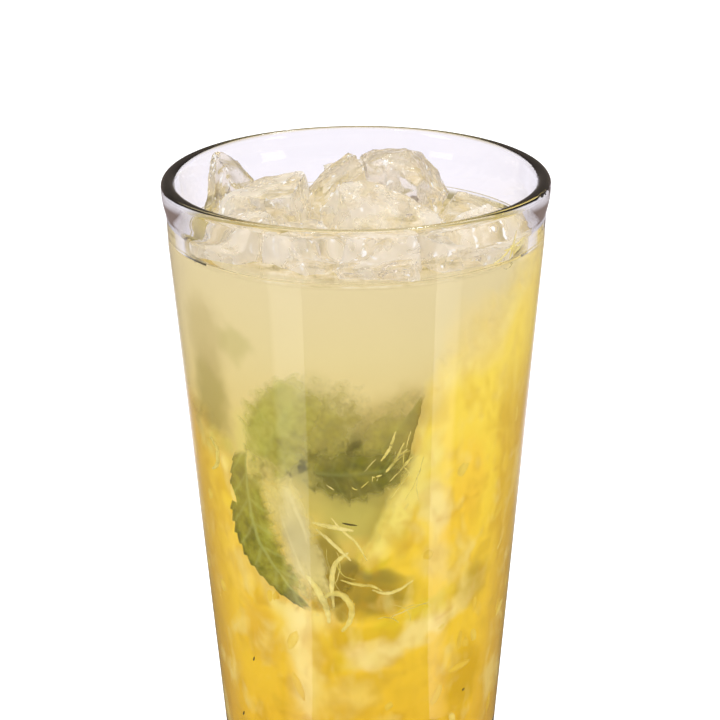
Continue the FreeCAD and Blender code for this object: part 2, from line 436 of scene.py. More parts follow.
drinkLook = {
    # colour of the cloud by share of the height, pale straw at the surface, gold at the floor
    "cloud": [(0.0, "#E9B42E"), (0.3, "#E8BE42"), (0.55, "#DCC45C"), (0.72, "#E6CE80"), (0.86, "#E9D698"),
              (1.0, "#E8D6A4")],
    # what hides sunk things with their depth
    "haze": [(0.0, "#DDAA28"), (0.5, "#C6AC44"), (0.75, "#CDB762"), (1.0, "#E8D6A4")],
    "fruit": [(0.0, "#F2BC20"), (0.3, "#F8CC2C"), (0.6, "#FEDA3C"), (0.8, "#FDDE54"), (1.0, "#FDE074")],
    "fruitEdge": "#FCE484",
    "top": "#D8C496",
    "veil": 4.0 * mm,  # depth at which the cloud hides two thirds of a thing
    "skinDepth": 0.25 * mm,  # how far the skin reaches into the wall
    "cloudDepth": 4.6 * mm,  # how far the clear cloud lies behind the wall
    "pulpDepth": (0.6, 1.3),  # where fruit lies: least, and what its lumps add, in mm
    "floorGap": 0.3 * mm,  # between cloud and floor
    "cloudTop": 1.4 * mm,  # cloud's top under the surface
}


def fogged(tree, color):
    # fades a sunk thing's colour into the cloud with its depth behind the wall
    depth, height = depthUnderWall(tree)
    share = remap(tree, height, floorTop, level, 0.0, 1.0)
    scaled = calc(tree, "DIVIDE", depth, -drinkLook["veil"])
    clear = calc(tree, "EXPONENT", scaled, clamp=True)
    return mixColors(tree, clear, colorRamp(tree, share, drinkLook["haze"]), color)


def wetMatt(tree, color, roughness=0.5):
    settings = {"Roughness": roughness, "Specular IOR Level": 0.2}
    return add(tree, "BsdfPrincipled", settings, {"Base Color": color})


def skinMaterial():
    # the drink's open surface bends light; its side lies inside the glass and leaves that to the glass
    material, tree = newMaterial("juice_surface")
    depth, height = depthUnderWall(tree)
    top = within(tree, [(depth, -0.15 * mm), (height, level - 0.5 * mm)])
    hidden = add(tree, "BsdfTransparent")
    water = add(tree, "BsdfPrincipled", {
        "Base Color": (1, 1, 1, 1), "Roughness": 0.03, "IOR": juiceIor, "Transmission Weight": 1.0,
    })
    lampsPass(tree, mixShaders(tree, top, hidden, water))
    return material


def cloudMaterial():
    # the drink behind its skin: soft cloud, and streaky wet pulp where shredded fruit lies at the wall
    material, tree = newMaterial("cloudy_juice_with_pulp")
    place = add(tree, "TexCoord").outputs["Object"]
    tint = add(tree, "Attribute", {"attribute_name": "tint"})
    # the fruit is softer to the eye high up, where more cloud lies over it
    split = add(tree, "SeparateXYZ", None, {0: place})
    crisp = remap(tree, split.outputs[2], 88 * mm, 118 * mm, 1.0, 0.3)
    pulp = calc(tree, "MULTIPLY", painted(tree, "pulp"), crisp)
    lean = add(tree, "Mapping", {"Rotation": (0.2, math.radians(35), 0), "Scale": (1.5, 1.5, 0.8)},
               {0: place})
    streaks = noisePattern(tree, lean.outputs[0], 85.0, 5.0, Roughness=0.5, Distortion=0.5)
    lumps = noisePattern(tree, place, 120.0, 2.0, Distortion=0.3)
    both = add(tree, "Mix", {"data_type": "FLOAT", 0: 0.4}, {2: streaks, 3: lumps})
    # painted shade: where the lumps rise, the gaps between small cells are painted deep gold as hollows in
    # shade
    cells = add(tree, "TexVoronoi", {"feature": "SMOOTH_F1", "Scale": 230.0, "Smoothness": 0.6},
                {"Vector": lean.outputs[0]})
    where = remap(tree, lumps, 0.47, 0.60, 0.0, 0.45)
    gaps = remap(tree, cells.outputs["Distance"], 0.30, 0.62, 0.0, 1.0)
    hollowShade = calc(tree, "MULTIPLY", calc(tree, "MULTIPLY", where, gaps), pulp)
    color = mixColors(tree, hollowShade, tint.outputs["Color"], "#D39E14")
    for low, high, most, code in ((0.52, 0.64, 0.55, "#FDE482"), (0.47, 0.37, 0.45, "#D6A81C")):
        share = remap(tree, both.outputs[0], low, high, 0.0, most)
        color = mixColors(tree, calc(tree, "MULTIPLY", share, pulp), color, code)
    # between the ice the top is flecked with froth and gaps
    flecks = noisePattern(tree, place, 260.0, 4.0, Roughness=0.6)
    froth = colorRamp(tree, flecks, [(0.38, "#A8955C"), (0.46, "#D3BF88"), (0.54, drinkLook["top"]),
                                     (0.66, "#EFE2C4")])
    color = mixColors(tree, painted(tree, "top"), color, froth)
    setOutput(tree, wetMatt(tree, color, 0.6))
    return material


def drinkProfile(depth, top, meniscus):
    # outline of the drink moved inwards by depth: floor centre, round corner, wall, surface
    profile = [(0, floorTop + depth)]
    for angle in range(0, 91, 10):
        z = floorTop + cornerHeight * (1 - math.cos(math.radians(angle)))
        rise = depth * math.cos(math.radians(angle))
        profile.append((float(insideRadius(z)) - depth, max(z, floorTop) + rise))
    count = 60
    start = profile[-1][1]
    for step in range(1, count + 1):
        z = start + (top + meniscus - start) * step / count
        profile.append((wallRadius(z) - depth, z))
    for step in range(1, 9):
        away = 3.0 * mm * step / 8
        profile.append((wallRadius(top) - depth - away, top + meniscus * math.exp(-away / (0.9 * mm))))
    for share in (0.8, 0.6, 0.4, 0.2):
        profile.append(((wallRadius(top) - depth) * share, top))
    profile.append((0, top))
    return profile


# Height that the shredded pineapple reaches, by azimuth in degrees from the front, in mm.
# It banks up high on the right, leaves a window of cloud in the middle and rises again on the left.
pulpBank = [
    (-180, 85), (-150, 93), (-120, 104), (-90, 100), (-70, 98), (-60, 94), (-54, 88), (-50, 79),
    (-45, 69.5), (-38, 61.5), (-28, 56.5), (-12, 57.5), (-4, 62.5), (4, 70.5), (11, 80), (17, 90),
    (21, 99), (25, 108), (30, 113), (35, 116), (45, 120.5), (56, 123.5), (66, 130.5), (80, 135.5),
    (100, 131.5), (120, 118), (150, 98), (180, 85),
]


# Soft stains and painted shade behind the wall: azimuth in degrees, height in mm, half width and half
# height in mm, lean of the long axis in degrees, strength and colour.
stainsAndShade = [
    # painted shade: the mint's shadow on the cloud
    (-1, 91, 16, 12, 0, 0.66, "#938C3A"), (-22, 99, 10, 12, 20, 0.6, "#A29C46"),
    (14, 104, 9, 6, -20, 0.55, "#B9A154"), (-13, 69.5, 3.6, 7, 0, 0.9, "#9A8424"),
    (-66, 102, 7, 11, 0, 0.7, "#A89646"), (-66, 117, 8, 9, 0, 0.5, "#BEA868"),
    (-49, 118, 5, 4, 0, 0.4, "#B9AC5C"), (2, 78, 10, 4.5, 0, 0.75, "#C4B654"),
    # painted shade: dark gold where the hollows between the shreds lie in shade
    (0, 61, 12, 5.5, 4, 0.95, "#A0861E"), (3, 66, 8, 1.6, 8, 0.7, "#8E7C24"),
    (-7, 55.5, 2.5, 2.5, 0, 0.9, "#AC8E20"), (-44, 47.5, 5, 9, -15, 0.6, "#E2AE30"),
    (50, 34.5, 5, 8.5, 8, 1.0, "#DCAC00"), (51, 59.5, 5, 6, 20, 0.7, "#B8942A"),
    (16, 74, 2.6, 6, 10, 0.5, "#D8B43C"), (12, 45.5, 4, 2.5, -25, 0.8, "#DFB02A"),
    (4, 38.5, 7, 2.5, -10, 0.8, "#E6B82A"), (-5, 49.5, 2.5, 3, 0, 0.7, "#D6A81A"),
    (-14, 44.5, 3, 6, 0, 0.5, "#EAC02C"), (-4, 30.5, 6, 2.5, 0, 0.5, "#E4B42A"),
    (62, 100, 3, 10, 0, 0.4, "#DDB23A"),
    # lemon lumps
    (11, 51.5, 3, 3, 0, 0.8, "#E8CC1E"), (29, 55.5, 7, 3, -28, 0.6, "#DEC630"),
    (5, 68.5, 3, 2, 0, 0.8, "#DABE18"), (23, 84, 2.5, 5, -35, 0.6, "#DCC63E"),
    (42, 77, 6, 8, -10, 0.5, "#F6C42A"), (46, 87, 5, 9, -10, 0.5, "#FCCA3C"),
    (-63, 92, 4, 3.5, 0, 0.6, "#E6D662"), (4, 49.5, 9, 2.6, -6, 0.75, "#E6BC18"),
    (-7, 43.5, 3, 4, 30, 0.5, "#E9C81C"),
    # pale wet flesh
    (21, 87, 3, 13, 24, 0.75, "#FBE678"), (10, 75, 2.6, 8, 38, 0.75, "#F8E26C"),
    (2, 44.5, 5, 2.6, 20, 0.7, "#FADC8E"), (24, 49.5, 15, 2.8, -24, 0.85, "#FCE288"),
    (29, 80, 3, 7, -12, 0.6, "#F4DE90"), (31, 67.5, 5, 5, 0, 0.5, "#EFD076"),
    (-24, 43.5, 3.6, 17, -4, 0.5, "#FDE894"), (-8, 34.5, 8, 4, 0, 0.4, "#FCE07C"),
    (46, 120.5, 9, 8, -20, 0.5, "#F6DC8C"), (-47, 94, 4, 9, 0, 0.6, "#E4D472"),
    (-55, 63.5, 4, 12, -10, 0.4, "#F6CC58"),
]


def smoothStep(value):
    value = np.clip(value, 0, 1)
    return value * value * (3 - 2 * value)


def fractal(points, scale, octaves=3, offset=0.0):
    # noise from about -1 to 1 at points in metres, scale in features per metre
    shift = Vector((offset, 0, 0))
    return np.array([noise.fractal(Vector(p) * scale + shift, 0.9, 2.0, octaves) for p in points])


def bankHeight(azimuth):
    places, heights = zip(*pulpBank)
    return np.interp((azimuth + 180) % 360 - 180, places, heights) * mm


def pulpShare(azimuth, z, points):
    # 1 in the shredded fruit, 0 in the cloud, with a torn border between, softer on the high right bank
    soft = np.interp(azimuth, (-180, -70, -52, -30, 15, 40, 100, 130), (5, 7, 6, 2.4, 2.6, 14, 14, 5)) * mm
    torn = 2.4 * mm * fractal(points, 190, 3) + 1.6 * mm * fractal(points, 520, 2, 7.0)
    return smoothStep((bankHeight(azimuth) + torn - z) / soft + 0.5)


def cloudTint(azimuth, z, points, pulp):
    share = (z - floorTop) / (level - floorTop)
    below = (bankHeight(azimuth) - z) / mm
    fruit = blend(drinkLook["fruit"], share)
    edge = 0.75 * np.exp(-((below - 3.0) / 3.5) ** 2)[:, None]
    fruit = fruit * (1 - edge) + np.array(linear(drinkLook["fruitEdge"])[:3]) * edge
    # painted shade: low down at the sides of the glass the fruit is painted a deeper gold, as it lies in
    # shade there
    sides = 0.7 * smoothStep((np.abs(np.sin(np.radians(azimuth))) - 0.80) / 0.2)
    sides = (sides * smoothStep((118 * mm - z) / (22 * mm)))[:, None]
    fruit = fruit * (1 - sides) + np.array(linear("#D29F34")[:3]) * sides
    tint = blend(drinkLook["cloud"], share) * (1 - pulp[:, None]) + fruit * pulp[:, None]
    sway = [1.9 * mm * fractal(points, 200, 2, offset) for offset in (11.0, 23.0)]
    for place, height, wide, high, lean, strength, code in stainsAndShade:
        across = np.radians((azimuth - place + 180) % 360 - 180) * wallRadius(z) + sway[0]
        up = z - height * mm + sway[1]
        turn = math.radians(lean)
        along = (up * math.cos(turn) + across * math.sin(turn)) / (high * mm)
        aside = (across * math.cos(turn) - up * math.sin(turn)) / (wide * mm)
        much = strength * smoothStep((1.45 - np.hypot(along, aside)) / 0.95)[:, None]
        tint = tint * (1 - much) + np.array(linear(code)[:3]) * much
    return tint


def makeCloud():
    steps, rows = 360, 270
    top = level - drinkLook["cloudTop"]
    azimuth, height = np.meshgrid(np.arange(steps) * 360.0 / steps - 180, np.linspace(0, 1, rows))
    gap = drinkLook["floorGap"]
    z = floorTop + gap + (top - floorTop - gap) * height
    azimuth, z = azimuth.ravel(), z.ravel()
    angle = np.radians(azimuth)
    outer = insideRadius(z)
    outside = np.stack([outer * np.sin(angle), -outer * np.cos(angle), z], 1)
    pulp = pulpShare(azimuth, z, outside)
    lumps = 0.5 + 0.5 * fractal(outside, 190, 2, 3.0)
    least, more = drinkLook["pulpDepth"]
    depth = (1 - pulp) * drinkLook["cloudDepth"] + pulp * (least + more * lumps) * mm
    radius = outer - depth
    spots = np.stack([radius * np.sin(angle), -radius * np.cos(angle), z], 1)
    faces = []
    for row in range(rows - 1):
        for step in range(steps):
            after = (step + 1) % steps
            faces.append((row * steps + step, row * steps + after,
                          (row + 1) * steps + after, (row + 1) * steps + step))
    tint = cloudTint(azimuth, z, outside, pulp)
    # the top is paler than the sides
    last = (rows - 1) * steps
    spots = np.concatenate([spots, spots[last:] * (0.9, 0.9, 1)])
    tint = np.concatenate([tint, np.tile(linear(drinkLook["top"])[:3], (steps, 1))])
    pulp = np.concatenate([pulp, np.zeros(steps)])
    for step in range(steps):
        after = (step + 1) % steps
        faces.append((last + step, last + after, last + steps + after, last + steps + step))
    faces.append(tuple(reversed(range(steps))))
    faces.append(tuple(range(last + steps, last + 2 * steps)))
    piece = addPiece("drink_cloud", spots, faces, cloudMaterial(), "drink")
    paint(piece.data, "pulp", pulp)
    paint(piece.data, "top", np.repeat((0, 1), (len(tint) - steps, steps)))
    tint = np.concatenate([tint, np.ones((len(tint), 1))], 1)
    attribute = piece.data.attributes.new("tint", "FLOAT_COLOR", "POINT")
    attribute.data.foreach_set("color", tint.astype(np.float32).ravel())
    return piece


skin = addPiece("drink_skin", *turned(drinkProfile(-drinkLook["skinDepth"], level, 1.0 * mm), 256),
                skinMaterial(), "drink")
makeCloud()
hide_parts("drink")
print("drink ready")

# ---- what is sunk in the drink

random = np.random.default_rng(41)


class Heap:
    # many small closed shapes gathered into one mesh, with one number per vertex for their shade
    def __init__(self):
        self.vertices, self.faces, self.shades = [], [], []

    def put(self, vertices, faces, shade):
        first = len(self.vertices)
        self.vertices.extend(vertices)
        self.faces.extend([tuple(first + corner for corner in face) for face in faces])
        self.shades.extend([shade] * len(vertices))

    def make(self, name, material, slot):
        piece = addPiece(name, self.vertices, self.faces, material, slot)
        paint(piece.data, "shade", self.shades)
        return piece


def sunkMaterial(name, stops, wispy=False):
    # a wet sunk thing: its shade picks a colour, and the cloud hides it with depth
    material, tree = newMaterial(name)
    place = add(tree, "TexCoord").outputs["Object"]
    moved = remap(tree, noisePattern(tree, place, 700.0, 3.0), 0.3, 0.7, -0.12, 0.12)
    tone = calc(tree, "ADD", painted(tree, "shade"), moved, clamp=True)
    surface = wetMatt(tree, fogged(tree, colorRamp(tree, tone, stops)))
    if wispy:
        solid = remap(tree, noisePattern(tree, place, 220.0, 2.0), 0.36, 0.56, 0.35, 0.92)
        surface = mixShaders(tree, solid, add(tree, "BsdfTransparent"), surface)
    lampsPass(tree, surface)
    return material


def tube(points, radii, sides=5):
    # vertices and faces of a thin closed tube along points
    vertices, faces = [], []
    side = Vector((0.3, 0.2, 0.9))
    for index, point in enumerate(points):
        ahead = points[min(index + 1, len(points) - 1)] - points[max(index - 1, 0)]
        across = ahead.cross(side).normalized()
        other = ahead.cross(across).normalized()
        for step in range(sides):
            angle = 2 * math.pi * step / sides
            offset = (across * math.cos(angle) + other * math.sin(angle)) * radii[index]
            vertices.append(point + offset)
    for index in range(len(points) - 1):
        for step in range(sides):
            after = (step + 1) % sides
            faces.append((index * sides + step, index * sides + after,
                          (index + 1) * sides + after, (index + 1) * sides + step))
    faces.append(tuple(reversed(range(sides))))
    faces.append(tuple(range((len(points) - 1) * sides, len(points) * sides)))
    return vertices, faces


def alongWall(azimuth, z, depth, heading, length, bend, count, wander=0.0):
    # points of a strand that starts at a place behind the wall and runs along a heading, 90 is up
    points = []
    arc = math.radians(azimuth) * float(insideRadius(z))
    step = length / (count - 1)
    for index in range(count):
        radius = float(insideRadius(max(z, floorTop + 0.5 * mm)))
        points.append(Vector(wallPoint(math.degrees(arc / radius), max(z, floorTop + 0.5 * mm), depth)))
        swing = wander * math.sin(1.7 * index + length * 900)
        angle = math.radians(heading + bend * index / (count - 1) + swing)
        arc += step * math.cos(angle)
        z += step * math.sin(angle)
    return points


juiceSacs = {
    "count": 90,
    "length": (4.0, 10.0),  # mm
    "thick": (1.0, 2.1),
    "highest": 92 * mm,  # above it no sac shows
    "underBank": 6 * mm,  # least depth under the top of the fruit
    "shades": [(0.0, "#ECC02C"), (0.4, "#F6CC3C"), (0.7, "#FBD852"), (1.0, "#FCE070")],
}


def makeJuiceSacs():
    heap = Heap()
    made = 0
    while made < juiceSacs["count"]:
        azimuth = random.uniform(-180, 180)
        z = random.uniform(floorTop + 1.5 * mm, level - 4 * mm)
        lift = min(bankHeight(azimuth) - juiceSacs["underBank"], juiceSacs["highest"])
        if z > lift:
            continue
        length = random.uniform(*juiceSacs["length"]) * mm
        thick = random.uniform(*juiceSacs["thick"]) * mm
        depth = 1.35 * thick + abs(random.normal(0, 0.6)) * mm
        lean = 62 if azimuth > -5 else 105
        points = alongWall(azimuth, z, depth, random.normal(lean, 24), length, random.normal(0, 20), 7)
        swell = [0.12, 0.55, 0.9, 1.0, 0.95, 0.7, 0.2]
        vertices, faces = tube(points, [thick * share for share in swell], 7)
        heap.put(vertices, faces, float(np.clip(random.normal(0.5, 0.22), 0, 1)))
        made += 1
    return heap.make("pineapple_sacs", sunkMaterial("pineapple_juice_sacs", juiceSacs["shades"]), "drink")


makeJuiceSacs()
print("fruit ready")

# ---- mint

mintLeaves = [
    # base and tip as azimuth and height; width, bow of the midrib and depths at base, middle and tip in mm;
    # share of dark; teeth; softness of the two edges; strength of the veins
    {"name": "mint_leaf_upper", "base": (-38, 87), "tip": (-15, 114), "width": 21, "bow": 1.5,
     "depth": (1.2, 1.2, 2.4), "fold": 0.7, "dark": 0.25, "teeth": 6, "soft": (0.45, 0.5), "veins": 0.35},
    {"name": "mint_leaf_centre", "base": (-26, 89), "tip": (2, 113), "width": 21, "bow": 0,
     "depth": (1.5, 2.3, 3.2), "fold": 0.9, "dark": 0.7, "teeth": 2, "soft": (0.9, 0.9), "veins": 0.2},
    {"name": "mint_leaf_behind", "base": (0, 89), "tip": (24, 109), "width": 18, "bow": 0,
     "depth": (1.6, 2.4, 3.2), "fold": 0.9, "dark": 0.85, "teeth": 4, "soft": (0.8, 0.2), "veins": 0.2},
    {"name": "mint_leaf_middle", "base": (-22, 91), "tip": (21, 93), "width": 16, "bow": -1,
     "depth": (1.0, 0.5, 1.0), "fold": 0.4, "dark": 1.0, "teeth": 7, "soft": (0.6, 0.45), "veins": 0.3},
    {"name": "mint_leaf_lower", "base": (-44, 94), "tip": (-18, 56.5), "width": 14, "bow": -6.4,
     "blunt": 0.35, "depth": (2.4, 0.7, 0.5), "fold": -0.2, "dark": 0.56, "teeth": 15,
     "soft": (0.5, 0.06), "veins": 0.9},
    {"name": "mint_leaf_low_right", "base": (19, 62.5), "tip": (-8, 60.5), "width": 9, "bow": 1,
     "depth": (1.9, 1.6, 1.8), "fold": 0.6, "dark": 0.8, "teeth": 6, "soft": (0.6, 0.6), "veins": 0.3},
    {"name": "mint_leaf_back", "base": (150, 99), "tip": (178, 75), "width": 20, "bow": 2,
     "depth": (1.6, 0.9, 1.4), "fold": 1.0, "dark": 0.5, "teeth": 12, "soft": (0.2, 0.1), "veins": 0.8},
]


def softSheet(tree, color):
    # a sheet that thins out to nothing at its torn edge and casts no shade in the cloudy juice
    gone = add(tree, "BsdfTransparent")
    lampsPass(tree, mixShaders(tree, painted(tree, "solid"), gone, wetMatt(tree, color)))


def mintMaterial():
    # steeped mint: olive green, paler veins, darker torn edge
    material, tree = newMaterial("steeped_mint")
    place = add(tree, "TexCoord").outputs["Object"]
    blotch = noisePattern(tree, place, 330.0, 4.0, Roughness=0.6)
    moved = remap(tree, blotch, 0.3, 0.7, -0.36, 0.36)
    tone = calc(tree, "ADD", painted(tree, "shade"), moved, clamp=True)
    green = colorRamp(tree, tone, [(0.0, "#B2B040"), (0.35, "#98941E"), (0.65, "#787406"),
                                   (1.0, "#545402")])
    softSheet(tree, fogged(tree, mixColors(tree, painted(tree, "vein"), green, "#C0C66C")))
    return material


def fleshMaterial():
    # a pale shred of pineapple: creamy fibres along its length, a little brown where it is bruised
    material, tree = newMaterial("pineapple_flesh")
    cream = colorRamp(tree, painted(tree, "shade"), [(0.0, "#EEDC82"), (0.5, "#DCCA7E"), (1.0, "#C6B674")])
    softSheet(tree, fogged(tree, mixColors(tree, painted(tree, "vein"), cream, "#F3E49C")))
    return material


def makeSheet(sheet, material, flesh=False):
    # a leaf or a shred that lies behind the wall
    rows, columns = 120, 49
    middle = (sheet["base"][1] + sheet["tip"][1]) / 2 * mm
    radius = float(insideRadius(middle))
    base = Vector((math.radians(sheet["base"][0]) * radius, sheet["base"][1] * mm))
    tip = Vector((math.radians(sheet["tip"][0]) * radius, sheet["tip"][1] * mm))
    along = tip - base
    across = Vector((-along.y, along.x)).normalized()
    spots, shades, veins, solids = [], [], [], []
    for row in range(rows):
        t = row / (rows - 1)
        outline = math.sin(math.pi * min(t * 0.94 + 0.02, 1) ** 0.85) ** (
            0.35 if flesh else np.interp(t, (0.2, 0.5), (sheet.get("blunt", 0.75), 0.75)))
        tooth = (t * sheet["teeth"]) % 1
        half = sheet["width"] / 2 * mm * max(outline, 0.02) * (0.90 + 0.16 * tooth)
        depth = np.interp(t, (0, 0.5, 1), sheet["depth"])
        sway = sheet["bow"] * mm * math.sin(math.pi * t)
        for column in range(columns):
            side = 2 * column / (columns - 1) - 1
            flat = base + along * t + across * (side * half + sway)
            spot = Vector((flat.x, flat.y, sheet["width"] * mm))
            ripple = noise.noise(spot * 260) * 0.7
            sunk = max(0.3, depth + sheet["fold"] * abs(side) + ripple) * mm
            spots.append(wallPoint(math.degrees(flat.x / radius), flat.y, sunk))
            torn = 0.30 * noise.fractal(spot * 420, 0.8, 2.0, 3)
            soft = sheet["soft"][0] if side > 0 else sheet["soft"][1]
            ends = min(t, 1 - t) / (0.5 * soft + 0.03)
            fade = min((1 - abs(side)) / soft, ends) + torn * min(1, soft * 3)
            solids.append(float(smoothStep(fade)))
            if flesh:
                lines = noise.noise(Vector((side * 5.5 + 0.5 * math.sin(3 * t), t * 2.2, sheet["width"])))
                veins.append(float(smoothStep((lines - 0.05) / 0.4)) * 0.5)
                shades.append(sheet["dark"] * math.exp(-((t - 0.5) / 0.26) ** 2) + 0.25 * ripple)
                continue
            ribs = abs(((t * 7 - abs(side) * 0.9) % 1) - 0.5)
            vein = max(math.exp(-(side / 0.07) ** 2), 0.55 * math.exp(-((0.5 - ribs) / 0.09) ** 2))
            edge = smoothStep((abs(side) - 0.72) / 0.28)
            veins.append(0.6 * vein * (1 - edge) * sheet["veins"])
            rimmed = side < 0 or sheet["soft"][0] < 0.3
            shades.append(sheet["dark"] + 0.35 * edge * rimmed - 0.15 * (side > 0))
    faces = [(r * columns + c, r * columns + c + 1, (r + 1) * columns + c + 1, (r + 1) * columns + c)
             for r in range(rows - 1) for c in range(columns - 1)]
    piece = addPiece(sheet["name"], spots, faces, material, "drink")
    for name, values in (("shade", shades), ("vein", veins), ("solid", solids)):
        paint(piece.data, name, values)
    return piece


fleshShreds = [
    {"name": "pineapple_shred_front", "base": (-33, 92), "tip": (-14, 55.5), "width": 11.5, "bow": 0,
     "depth": (0.5, 0.35, 0.35), "fold": 0.4, "dark": 0.9, "teeth": 4, "soft": (0.5, 0.75)},
    {"name": "pineapple_shred_back", "base": (-165, 97), "tip": (-150, 60.5), "width": 10, "bow": 2,
     "depth": (0.8, 0.5, 0.7), "fold": 0.5, "dark": 0.3, "teeth": 4, "soft": (0.5, 0.5)},
]

steepedMint = mintMaterial()
for leaf in mintLeaves:
    makeSheet(leaf, steepedMint)
paleFlesh = fleshMaterial()
for shred in fleshShreds:
    makeSheet(shred, paleFlesh, flesh=True)
print("mint ready")

# ---- torn fibres and specks

fibreTufts = [
    # azimuth, height, heading, spread of headings, how many, length and depth in mm
    (-9, 71.5, 262, 14, 4, 12, 0.6),
    (10, 57.5, 25, 12, 4, 10, 0.6),
    (14, 93, 40, 60, 14, 4.5, 0.5),
    (-8, 90, 60, 60, 7, 2.2, 0.4),
    (4, 89, 20, 60, 8, 2.4, 0.4),
    (22, 91, 242, 10, 5, 12, 0.9),
    (150, 81, 70, 40, 20, 14, 0.8),
    (-120, 87, 100, 40, 20, 14, 0.8),
]

# thicker strands by the places they pass, with their thickness in mm and their shade
strands = [
    ([(-15, 58.5), (-11, 61), (-6, 60.5), (-3, 57.5), (-4, 54), (-7, 51.5)], 0.75, 0.35),
    ([(-10, 57.5), (-10.5, 63.5), (-9, 68.5), (-4, 71.5)], 0.6, 0.5),
    ([(-17, 78.5), (-12, 78), (-7, 77.5), (-2, 77)], 0.55, 0.6),
    ([(-16, 77), (-12, 75), (-7, 72), (-3, 69.5)], 0.4, 0.6),
    ([(5, 62), (10, 61), (15, 61.5), (21, 63.5)], 0.4, 0.5),
    ([(-7, 64.5), (-1, 63.5), (5, 63), (9, 61.5)], 0.35, 0.3),
    ([(-22, 66.5), (-17, 62.5), (-13, 57.5), (-12, 53.5)], 0.8, 0.55),
    ([(8, 94), (11, 97), (13, 101)], 0.35, 0.4),
    ([(5, 90), (9, 91), (13, 94), (16, 98)], 0.35, 0.3),
    ([(-63, 93), (-59, 91), (-60, 87), (-64, 85)], 0.6, 0.2),
    ([(-10, 80), (-6, 77), (-1, 74), (3, 69.5)], 0.3, 0.5),
]

# fibres that cling to the wall over the drink: azimuth, height over the surface, heading and length
clinging = [(47, 1.2, 8, 6), (52, 3.4, -4, 8), (58, 2.0, 12, 5), (55, 1.0, 60, 7)]


def smoothPath(places, count=24):
    # points on a smooth curve through places
    places = [2 * np.array(places[0]) - places[1], *places, 2 * np.array(places[-1]) - places[-2]]
    path = []
    for index in range(count):
        t = index / (count - 1) * (len(places) - 3)
        first = min(int(t), len(places) - 4)
        a, b, c, d = (np.array(places[first + step], float) for step in range(4))
        u = t - first
        path.append(0.5 * (2 * b + (c - a) * u + (2 * a - 5 * b + 4 * c - d) * u ** 2
                           + (3 * b - a - 3 * c + d) * u ** 3))
    return path


def makeFibres():
    heap = Heap()
    for azimuth, height, heading, spread, many, length, depth in fibreTufts:
        for _ in range(many):
            start = (azimuth + random.normal(0, 3.2), (height + random.normal(0, 1.6)) * mm)
            points = alongWall(*start, (depth + random.uniform(-0.1, 0.9)) * mm,
                               random.normal(heading, spread), length * random.uniform(0.4, 1.0) * mm,
                               random.normal(0, 45), 12, 9)
            thick = random.uniform(0.08, 0.2) * mm
            radii = [thick * (0.35 + 0.65 * math.sin(math.pi * (0.08 + 0.84 * i / 11))) for i in range(12)]
            heap.put(*tube(points, radii, 5), float(np.clip(random.normal(0.4, 0.2), 0, 1)))
    for places, thick, shade in strands:
        path = smoothPath(places)
        points = [Vector(wallPoint(a, z * mm, (0.75 + 0.15 * math.sin(i)) * mm))
                  for i, (a, z) in enumerate(path)]
        radii = [thick * mm * (0.25 + 0.75 * math.sin(math.pi * (0.06 + 0.88 * i / 23))
                               + 0.12 * math.sin(2.1 * i)) for i in range(24)]
        heap.put(*tube(points, radii, 8), shade)
    for azimuth, rise, heading, length in clinging:
        points = alongWall(azimuth, level + rise * mm, 0.28 * mm, heading, length * mm, 30, 12)
        radii = [0.22 * mm * (0.4 + 0.6 * math.sin(math.pi * i / 11)) for i in range(12)]
        heap.put(*tube(points, radii, 6), 0.55)
    shades = [(0.0, "#DCC858"), (0.4, "#F3DE76"), (0.7, "#FAE994"), (1.0, "#FCF1B6")]
    return heap.make("pineapple_fibres", sunkMaterial("pineapple_fibres", shades, wispy=True), "drink")


# azimuth, height, length in mm and heading
darkSpecks = [(-6, 79, 3.4, -14), (-49, 39.5, 1.2, 70), (-61, 23, 1.4, 60), (48, 31.5, 0.9, 20),
              (120, 60.5, 2.0, 30)]


def makeSpecks():
    heap = Heap()
    for azimuth, height, length, heading in darkSpecks:
        points = alongWall(azimuth, height * mm, 0.35 * mm, heading, length * mm, 10, 6)
        heap.put(*tube(points, [share * 0.22 * mm for share in (0.4, 0.9, 1, 1, 0.8, 0.3)]), 0.5)
    shades = [(0.0, "#3A3312"), (1.0, "#5A4C1C")]
    return heap.make("mint_specks", sunkMaterial("steeped_mint_stalk", shades), "drink")


makeFibres()
makeSpecks()
print("fibres ready")

# ---- ice

iceLook = {
    "voxel": 0.45 * mm,
    "melt": 1,  # rounds of smoothing
    "chip": 0.75 * mm,  # depth of the shell-shaped chips
    "bubbles": 30,  # in each lump
    "cracks": 4,
    "flawsFrom": 2 * mm,  # under the surface of the drink
    # clear lumps among the frosted ones: share of frost
    "frost": {"ice_shard": 0.3, "ice_peak_right": 0.4, "ice_peak_left": 0.55, "ice_right_slope": 0.7},
}


